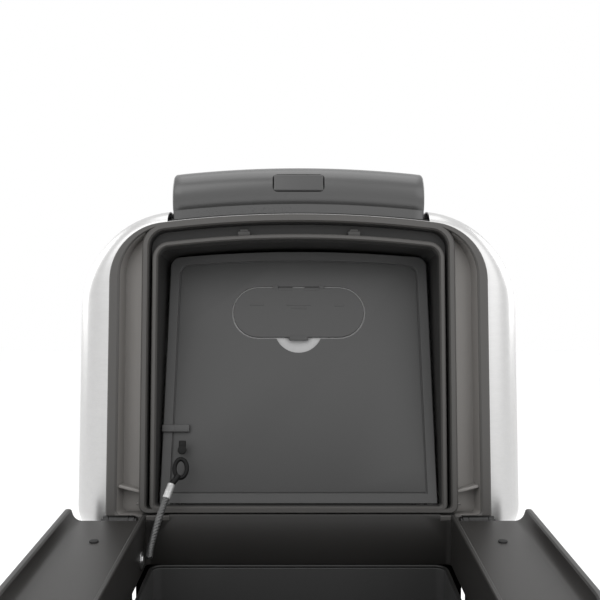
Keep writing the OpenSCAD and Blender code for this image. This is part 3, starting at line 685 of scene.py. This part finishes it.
def make_bucket():
    """The bucket with its turned rim, and the ring that holds a bag on it."""
    low, top = BUCKET_LOW.z, BUCKET_HIGH.z
    outside = ((8, low), (4, low + 1), (2, low + 4), (1.2, low + 60), (1, top - 8), (0.2, top - 7),
               (0, top - 6), (0, top - 1), (0.6, top))
    inside = ((2.2, top), (3, top - 0.8), (3, top - 30), (3.2, low + 60), (4, low + 8), (7, low + 4.5),
              (12, low + 3))
    rings = [bucket_ring(inset, z) for inset, z in outside + inside]
    dress(loft("Bucket_shell", rings), "bucket", "bucket", "bucket_plastic", "bucket_shell")
    ring_low, ring_top = (box.z for box in millimetres("bag_ring"))
    rings = [bucket_ring(0.2, ring_low), bucket_ring(0, ring_low + 1), bucket_ring(0.6, ring_top),
             bucket_ring(2.4, ring_top), bucket_ring(3, ring_top - 0.6), bucket_ring(3, ring_low)]
    dress(loft("Bag_ring", rings, endless=True), "black", "bucket", "black_plastic", "bag_ring")


# ---------------------------------------------------------------- lid
def lid_points(share, inset, height):
    """A ring of the lid skin, from the flange at share 0 to the full outline at share 1."""
    rest = 1 - share
    points = outline(HALF - rest * BULLNOSE - inset, FRONT + rest * 15 + inset, BACK - inset,
                     max(FRONT_R - rest * 43 - inset, 20), max(BACK_R - rest * 10 - inset, 3))
    return [(x, y, RIM + height(HINGE.y - y)) for x, y in points]


def make_lid_skin():
    """The rolled lower edge and the rounded cheeks, cut open between them for the handle and deck."""
    slot_x = HANDLE_X + 4.7
    back_edge, front_edge = 9, 0.12
    rings = [lid_points(0, 0, lambda v: 0.0)]
    for turn in [math.radians(a) for a in (4.6, *range(10, 91, 8))]:
        rings.append(lid_points(math.sin(turn), 0,
                                lambda v, t=turn: squeeze(v) * BULLNOSE * (1 - math.cos(t))))
    for turn in [math.radians(b) for b in range(0, 91, 9)]:
        rings.append(lid_points(1, EDGE_R * (1 - math.cos(turn)),
                                lambda v, t=turn: top_at(v) - squeeze(v) * EDGE_R * (1 - math.sin(t))))
    rings += [lid_points(1, inset, top_at) for inset in (30, 45, 60, 75, 88)]
    piece = loft("Lid_skin", rings, (False, False))
    edit(piece)
    for x in (-slot_x, slot_x):
        bpy.ops.mesh.select_all(action="SELECT")
        bpy.ops.mesh.bisect(plane_co=(x * MM, 0, 0), plane_no=(1, 0, 0))
    bpy.ops.mesh.select_all(action="SELECT")
    bpy.ops.mesh.bisect(plane_co=(0, 0, (RIM + back_edge) * MM), plane_no=(0, 0, 1))
    delete_faces(piece, lambda centre: abs(centre.x) < slot_x
                 and centre.z > RIM + (back_edge if centre.y > 0 else front_edge))
    leave(piece)
    modify(piece, "SOLIDIFY", thickness=STEEL_T * MM, offset=-1)
    dress(opened(piece), "lid_steel", "lid", "steel", "lid_skin", angle=30)


def well_height(v):
    """Height w of the well's roof, which rises from the axle's place towards the front."""
    start, end = 40, 64
    share = min(1, max(0, (v - start) / (end - start)))
    return 5.4 + share * (on_slope(DECK_R - 3, max(v, end)) - 5.4)


def make_lid_liner():
    """Flange, wing hollows, the two rims with the channel between them, and the well."""
    flange, front = HALF - BULLNOSE - 0.5, LID_FRONT - 15.5
    # half-width, v at the front, v at the back, front and back corner radius, height w
    flange_steps = ((flange, front, -10.6, 54.5, 8, 2.6), (flange, front, -10.6, 54.5, 8, 0.6),
                    (flange - 0.5, front - 0.2, -10.2, 54, 8, 0), (flange - 6, front - 0.35, 4, 51.8, 6, 0))
    wing_steps = ((flange - 7, front - 0.5, 4.6, 51, 6, 0.8), (flange - 9, front - 0.55, 5, 50, 6, 16),
                  (flange - 11, front - 0.6, 5.6, 49, 6, 19),
                  (RIM_OUT + 1.6, RIM_FRONT + 0.25, 7.6, 24, 6, 14),
                  (RIM_OUT + 0.2, RIM_FRONT + 0.1, 8.8, 22.4, 6, 14.5))
    outer_rim = ((RIM_OUT, RIM_FRONT, 9, 22, 6, 0.9),
                 (RIM_OUT - 0.7, RIM_FRONT - 0.7, 9.5, 21.3, 5.5, 0),
                 (RIM_OUT - 2.9, RIM_FRONT - 2.9, 10.5, 19, 5.2, 0),
                 (RIM_OUT - 4.6, RIM_FRONT - 4.6, 10.9, 17.4, 5, 3))
    channel = ((RIM_OUT - 5, RIM_FRONT - 5, 10.92, 17, 5, 15),
               (INNER_OUT + 0.6, INNER_FRONT + 0.8, 10.94, 15.4, 5, 15.6))
    inner_rim = ((INNER_OUT, INNER_FRONT, 10.96, 15, 5, 0.8),
                 (INNER_OUT - 0.5, INNER_FRONT - 0.5, 11.4, 14.5, 4.6, 0),
                 (INNER_OUT - 1.5, INNER_FRONT - 1.2, 12, 13.5, 4.4, 0),
                 (WELL_X, INNER_FRONT - 2.6, 13.5, 12, 4, 3),
                 (WELL_X - 0.4, INNER_FRONT - 4, 13.6, 12, 4, 4.6))
    rings = [ring(*step) for step in flange_steps + wing_steps + outer_rim + channel + inner_rim]
    rings.append(ring(WELL_X - 0.8, INNER_FRONT - 5, 13.7, 12, 4, well_height))
    piece = loft("Lid_liner", rings, (False, False))
    modify(piece, "SOLIDIFY", thickness=LINER_T * MM, offset=-1)
    ribs = [opened(rib) for rib in wing_ribs()]
    dress(join("Lid_liner", [opened(piece)] + ribs), "liner", "lid", "liner_plastic", "lid_liner", angle=30)


def wing_ribs():
    """The cross rib and the small gusset in each wing hollow."""
    pieces = []
    for side in (-1, 1):
        inner, outer = RIM_OUT + 0.4, HALF - BULLNOSE - 9.6
        rib = block("Wing_rib", (inner, HINGE.y - 31.4, RIM + 3), (outer, HINGE.y - 28.6, RIM + 20), 0.6)
        rib.data.transform(Matrix.Translation(Vector(((inner + outer) / 2, HINGE.y - 30, 0)) * MM)
                           @ Matrix.Rotation(math.radians(-14), 4, "Z")
                           @ Matrix.Translation(Vector((-(inner + outer) / 2, 30 - HINGE.y, 0)) * MM))
        gusset = block("Gusset", (RIM_OUT - 1, HINGE.y - 17, RIM + 0.6),
                       (RIM_OUT + 4, HINGE.y - 15, RIM + 13), 0.5)
        for piece in (rib, gusset):
            if side < 0:
                piece.data.transform(Matrix.Scale(-1, 4, (1, 0, 0)))
                edit(piece)
                leave(piece)
            pieces.append(piece)
    return pieces


def make_channel_clips():
    """Two clips in the front of the channel."""
    clips = []
    for x in (-53, 54):
        y = HINGE.y - INNER_FRONT
        clips.append(block("Clip", (x - 6, y - 5, RIM + 6), (x + 6, y, RIM + 15.8), 0.8))
        clips.append(block("Clip_toe", (x - 4, y - 7.4, RIM + 8), (x + 4, y - 4, RIM + 11), 0.6))
    dress(opened(join("Channel_clips", clips)), "clip", "lid", "liner_plastic", "channel_clips")


# ---------------------------------------------------------------- handle
def handle_section():
    """The handle's closed section, as (v, w) places: its outside, then its inside."""
    nose_r = BAR_R
    nose = Vector((BAR.x - 46, on_slope(TOP_R - nose_r, BAR.x - 46)))
    direction = math.degrees(math.atan2(BAR.x - nose.x, nose.y - BAR.y))
    slope = 90 + math.degrees(SLOPE)
    lip_v = AXLE.x + math.sqrt((SWEEP_R + 1.2) ** 2 - (AXLE.y - 5) ** 2)
    thick = 2.5
    outer = (arc(*AXLE, TOP_R, 145, slope, 10) + arc(*nose, nose_r, slope, direction, 12)
             + arc(*BAR, BAR_R, direction, -128, 40) + [(lip_v + 0.5, 3.3), (lip_v, 3.8)])
    inner = ([(lip_v, 4.9), (lip_v + 0.5, 5.4)] + arc(*BAR, BAR_R - thick, -124, direction, 40)
             + arc(*nose, nose_r - thick, direction, slope, 12) + arc(*AXLE, TOP_R - thick, slope, 145, 10))
    return outer + inner


def make_handle_shell():
    """The handle's shell from the barrel at the axle to the bar, with the button's opening."""
    path = handle_section()
    middle = Vector((BAR.x - 20, 40))
    edge_r = 3.2
    turns = [math.radians(a) for a in (90, 65, 40, 15)]
    rounding = [(HANDLE_X - edge_r * (1 - math.sin(a)), edge_r * (1 - math.cos(a))) for a in turns]
    ends = [(-x, inset) for x, inset in rounding]
    ends += [(HANDLE_X * k / 12, 0) for k in range(-11, 12)]
    ends += reversed(rounding)
    rings = []
    for x, inset in ends:
        section = []
        for v, w in path:
            pull = Vector((v, w)) - middle
            near = max(0, min(1, (v - 250) / 50))
            spot = Vector((v, w)) - pull.normalized() * inset * near
            section.append((x, HINGE.y - (spot.x - bow_share(spot.x) * bow_shift(x)), RIM + spot.y))
        rings.append(section)
    piece = loft("Handle_shell", rings)
    opening = block("Opening", (-25.1, -9.3, -12), (25.1, 9.3, 12), 4.6, 6)
    cut(piece, to_button(opening))
    dress(opened(piece), "handle", "handle", "handle_plastic", "handle_shell", angle=32)


def to_button(piece):
    """Takes a piece whose z points out of the button's face to its place on the closed lid."""
    turn = Matrix.Rotation(BUTTON_TURN, 4, "X")
    base = Matrix.Translation(Vector((0, HINGE.y - BAR.x, RIM + BAR.y)) * MM)
    piece.data.transform(base @ turn @ Matrix.Translation((0, 0, (BAR_R - 1.2) * MM)))
    return piece


def make_button():
    """The release button's domed cap on its stem."""
    cap = block("Release_button", (-24.3, -8.5, -2), (24.3, 8.5, 0.9), 0, 1)
    modify(cap, "BEVEL", width=5 * MM, segments=8, limit_method="ANGLE", angle_limit=math.radians(60),
           affect="EDGES")
    stem = block("Stem", (-8, -3, -8), (8, 3, -1), 0.4)
    dress(opened(to_button(join("Release_button", [cap, stem]))), "button", "button", "button_plastic",
          "release_button")


# ---------------------------------------------------------------- compaction plate
def plate_ring(inset, z, radius=10):
    """A ring of the plate's outline, tapered to the front and bowed there."""
    half, top = PLATE_X - inset, PLATE_LEN - inset
    corner = half - PLATE_TAPER - radius
    lean = math.degrees(math.asin(corner / PLATE_BOW))
    edge = top - PLATE_BOW + math.sqrt((PLATE_BOW - radius) ** 2 - corner ** 2)
    points = ([(half * (1 - k / 6), inset) for k in range(0, 13)]
              + [(-half + PLATE_TAPER * k / 8, inset + (edge - inset) * k / 8) for k in range(1, 8)]
              + arc(-corner, edge, radius, 180, 90 + lean, 8)
              + arc(0, top - PLATE_BOW, PLATE_BOW, 90 + lean, 90 - lean, 18)[1:-1]
              + arc(corner, edge, radius, 90 - lean, 0, 8)
              + [(half - PLATE_TAPER * (1 - k / 8), edge + (inset - edge) * k / 8) for k in range(1, 8)])
    return [(x, s, z) for x, s in points]


def stadium(width, height, s, z, steps=16):
    """A ring with two half-round ends."""
    radius, reach = height / 2, (width - height) / 2
    points = (arc(reach, s, radius, -90, 90, steps) + arc(-reach, s, radius, 90, 270, steps))
    return [(x, y, z) for x, y in points]


def cover_prism(name, grow, low, high):
    """The filter cover's outline with its tab, as a prism."""
    prism = loft(name, [stadium(COVER_W + 2 * grow, COVER_H + 2 * grow, COVER_S, z) for z in (low, high)])
    half = TAB_HALF + grow
    tab = block("Tab", (-half, COVER_LOW - 4 - grow, low), (half, COVER_LOW + 6, high), 0)
    return cut(prism, tab, "UNION")


def make_plate():
    """The plate with its border, sunk panel, hole for the filter cover and hinge knuckles."""
    rings = [plate_ring(0.6, PLATE_T), plate_ring(0, 2.0), plate_ring(0, 0.6), plate_ring(0.6, 0),
             plate_ring(8.8, 0), plate_ring(9.2, 0.4), plate_ring(9.5, 1.9), plate_ring(10.3, 1.9),
             plate_ring(10.7, 1.0), plate_ring(11.2, 0.8)]
    piece = loft("Compaction_plate", rings)
    cut(piece, cover_prism("Hole", COVER_GAP, -4, 8))
    notch = rod("Notch", (0, COVER_LOW + 8.5, -4), (0, COVER_LOW + 8.5, 8), 24, 0, 96)
    cut(notch, block("Upper", (-40, COVER_LOW + 4, -5), (40, COVER_S + 60, 9), 0))
    cut(piece, notch)
    knuckles = []
    for side in (-1, 1):
        low, high = sorted((side * (DOOR_X + 0.6), side * (DOOR_X + 5.6)))
        knuckles.append(rod("Knuckle", (low, DOOR_S, DOOR_Z), (high, DOOR_S, DOOR_Z), 1.3, 0.2, 24))
        knuckles.append(block("Knuckle_root", (low, DOOR_S, 0), (high, DOOR_S + 3, PLATE_T), 0.2))
    dress(on_plate(join("Compaction_plate", [piece] + knuckles)), "plate", "plate", "plate_plastic",
          "compaction_plate", angle=30)


def make_plate_hook():
    """The peg that holds the stay, and the rib beside it."""
    x, s = HOOK_X, HOOK_S
    peg = rod("Peg", (x, s, 0.8), (x, s, -10), 2.5, 0.5)
    head = rod("Head", (x, s, -9), (x, s, -11), 4.2, 0.8)
    wing = block("Hook_wing", (x - 3.4, s - 1, -10.4), (x + 3.4, s + 9, -7.6), 1)
    rib = block("Rib", (11 - PLATE_X, 67.5, -3), (-105.5, 74.5, 0.8), 0.8)
    foot = block("Rib_foot", (-PLATE_X, 67.5, -3), (12 - PLATE_X, 74.5, 0), 0.8)
    dress(on_plate(join("Plate_hook", [peg, head, wing])), "hook", "plate", "black_plastic", "plate_hook")
    dress(on_plate(join("Plate_rib", [rib, foot])), "plate", "plate", "plate_plastic", "plate_hook")


def make_filter_cover():
    """The cover with its finger tab, plain dashes and hinge leaves."""
    layers = ((0.5, 2.5), (0, 2.1), (0, 0.9), (0.5, 0.4))
    piece = loft("Filter_cover", [stadium(COVER_W - 2 * d, COVER_H - 2 * d, COVER_S, z) for d, z in layers])
    tab = block("Tab", (-TAB_HALF, COVER_LOW - 3, 0.4), (TAB_HALF, COVER_LOW + 3, 2.5), 0.5)
    marks = [tab]
    # plain raised dashes in place of any mark
    for x, y, width in ((-42, 8, 14), (0, 8, 24), (0, 4.5, 16), (41, 7, 9)):
        marks.append(block("Dash", (x - width / 2, COVER_S + y - 0.9, 0.1),
                           (x + width / 2, COVER_S + y + 0.9, 0.8), 0.15, 2))
    for side in (-1, 1):
        low, high = sorted((side * 6, side * DOOR_X))
        end = side * (DOOR_X + 5)
        marks.append(block("Hinge_leaf", (low, COVER_TOP - 3, 0.2), (high, DOOR_S, 2.4), 0.3))
        marks.append(rod("Barrel", (low, DOOR_S, DOOR_Z), (high, DOOR_S, DOOR_Z), 1.3, 0.2, 24))
        start = side * (DOOR_X - 1)
        marks.append(rod("Door_pin", (start, DOOR_S, DOOR_Z), (end, DOOR_S, DOOR_Z), 0.8, 0.1, 24))
    dress(on_plate(join("Filter_cover", [piece] + marks)), "plate", "cover", "plate_plastic", "filter_cover")


def make_filter_tray():
    """The tray behind the cover, scooped out under the finger notch."""
    low_s, high_s = COVER_LOW - 22, COVER_TOP + 8
    half = (COVER_W + 14) / 2
    tray = block("Filter_tray", (-half, low_s, 2.7), (half, high_s, 18.6), 2.5, 4)
    well = loft("Tray_well", [stadium(COVER_W - 6, COVER_H - 6, COVER_S, z) for z in (1, 16)])
    cut(tray, well)
    scoop = start_object(bpy.ops.mesh.primitive_uv_sphere_add, "Scoop", radius=40 * MM, segments=64,
                         ring_count=40, location=Vector((0, COVER_LOW - 2, -34.5)) * MM)
    bpy.ops.object.transform_apply(location=True, rotation=True, scale=True)
    cut(tray, scoop)
    dress(on_plate(tray), "tray", "plate", "tray_plastic", "filter_tray")


# ---------------------------------------------------------------- lid stay
def sweep(name, path, radius, sides=14):
    """A round tube along points in millimetres."""
    bpy.ops.object.select_all(action="DESELECT")
    bpy.ops.curve.primitive_bezier_curve_add()
    curve = bpy.context.object
    curve.name = name
    curve.data.splines.clear()
    spline = curve.data.splines.new("POLY")
    spline.points.add(len(path) - 1)
    for point, place in zip(spline.points, path):
        point.co = (*(Vector(place) * MM), 1)
    curve.data.dimensions = "3D"
    curve.data.bevel_depth = radius * MM
    curve.data.bevel_resolution = max(2, sides // 4)
    curve.data.use_fill_caps = True
    bpy.ops.object.convert(target="MESH")
    return bpy.context.object


def spline_points(points, steps=10):
    """A smooth path through points (Catmull-Rom)."""
    points = [Vector(p) for p in points]
    padded = [2 * points[0] - points[1]] + points + [2 * points[-1] - points[-2]]
    path = []
    for a, b, c, d in zip(padded, padded[1:], padded[2:], padded[3:]):
        for k in range(steps):
            t = k / steps
            path.append(0.5 * (2 * b + (c - a) * t + (2 * a - 5 * b + 4 * c - d) * t ** 2
                               + (3 * b - a - 3 * c + d) * t ** 3))
    return path + [points[-1]]


# The cable's route, as in the CAD source
LOOP_END = (-118.8, 150.8, 628)
FERRULE_END = (-122.6, 141.1, 617)
CABLE = (FERRULE_END, (-125.5, 133.5, 608), (-128.5, 124.5, 598), (-131, 116, 588), (-132.6, 110, 580),
         (-133, 107, 574))


def make_stay():
    """The lid stay: a four-strand cable, its ferrule, its loop and its anchor."""
    path = spline_points(CABLE, 14)
    lay, strand_r = 1.6, 1.7
    strands = []
    for turn in range(4):
        coiled = []
        for i, point in enumerate(path):
            ahead = (path[min(i + 1, len(path) - 1)] - path[max(i - 1, 0)]).normalized()
            side = ahead.cross(Vector((1, 0, 0))).normalized()
            other = ahead.cross(side)
            a = math.radians(90 * turn + i * 26)
            coiled.append(point + lay * (side * math.cos(a) + other * math.sin(a)))
        strands.append(sweep("Strand", coiled, strand_r, 12))
    cable = join("Stay_cable", strands)
    loop_start = Vector((HOOK_X, 160, 641))
    eye = []
    for i in range(33):
        a = math.radians(360 * i / 32)
        eye.append(loop_start + Vector((5.8 * math.sin(a), -1.6 + 2.8 * math.cos(a), 8.2 * math.cos(a))))
    loop = join("Stay_loop", [sweep("Eye", eye, 2.1), sweep("Neck", spline_points(
        ((-112.6, 156, 635.5), (-115.5, 153.4, 631.5), LOOP_END), 8), 2.9)])
    ferrule = rod("Stay_ferrule", LOOP_END, FERRULE_END, 3.7, 0.8)
    anchor_low, anchor_high = millimetres("stay_anchor")
    anchor = join("Stay_anchor", [
        rod("Washer", (anchor_low.x, 105, RIM - 28), (anchor_low.x + 1, 105, RIM - 28), 8, 0.3),
        rod("Screw", (anchor_low.x, 105, RIM - 28), (anchor_high.x, 105, RIM - 28), 4.5, 0.6)])
    cut(anchor, block("Slot", (anchor_high.x - 1, 104.3, RIM - 33), (anchor_high.x + 1, 105.7, RIM - 23), 0))
    dress(cable, "braid", "bin", "cable", "stay_cable", angle=60)
    dress(loop, "hook", "bin", "black_plastic", "stay_loop", angle=60)
    dress(ferrule, "sleeve", "bin", "clear_sleeve", "stay_ferrule")
    dress(anchor, "bright_steel", "bin", "bright_steel", "stay_anchor")
    for piece in (cable, loop, ferrule):
        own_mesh(piece)


# ---------------------------------------------------------------- pieces kept from the CAD
KEPT = {
    "black": ("lid_deck", "deck_walls", "handle_cover"),
    "handle": ("handle_end_caps",),
    "dark_steel": ("lid_hinge_arms", "hinge_brackets", "hinge_pins"),
    "bright_steel": ("axle_brackets", "compaction_axle", "axle_clips", "latch_keeper", "handle_arms",
                     "handle_screws", "button_spring", "latch_bolt", "plate_frame", "plate_screws",
                     "return_springs"),
    "foam": ("carbon_filter",),
}


def paint_kept():
    """Gives the nodes that keep their CAD shape their materials."""
    for material, nodes in KEPT.items():
        for node in nodes:
            kept = frame["nodes"][node]
            kept.data.materials.clear()
            kept.data.materials.append(MATERIALS[material])


MATERIALS = make_materials()
studio().data.materials.append(MATERIALS["floor"])
for make in (make_body_shell, make_rear_panel, make_plinth, make_feet, make_collar, make_bumpers, make_bucket,
             make_lid_skin, make_lid_liner, make_channel_clips, make_handle_shell, make_button, make_plate,
             make_plate_hook, make_filter_cover, make_filter_tray, make_stay, paint_kept):
    make()
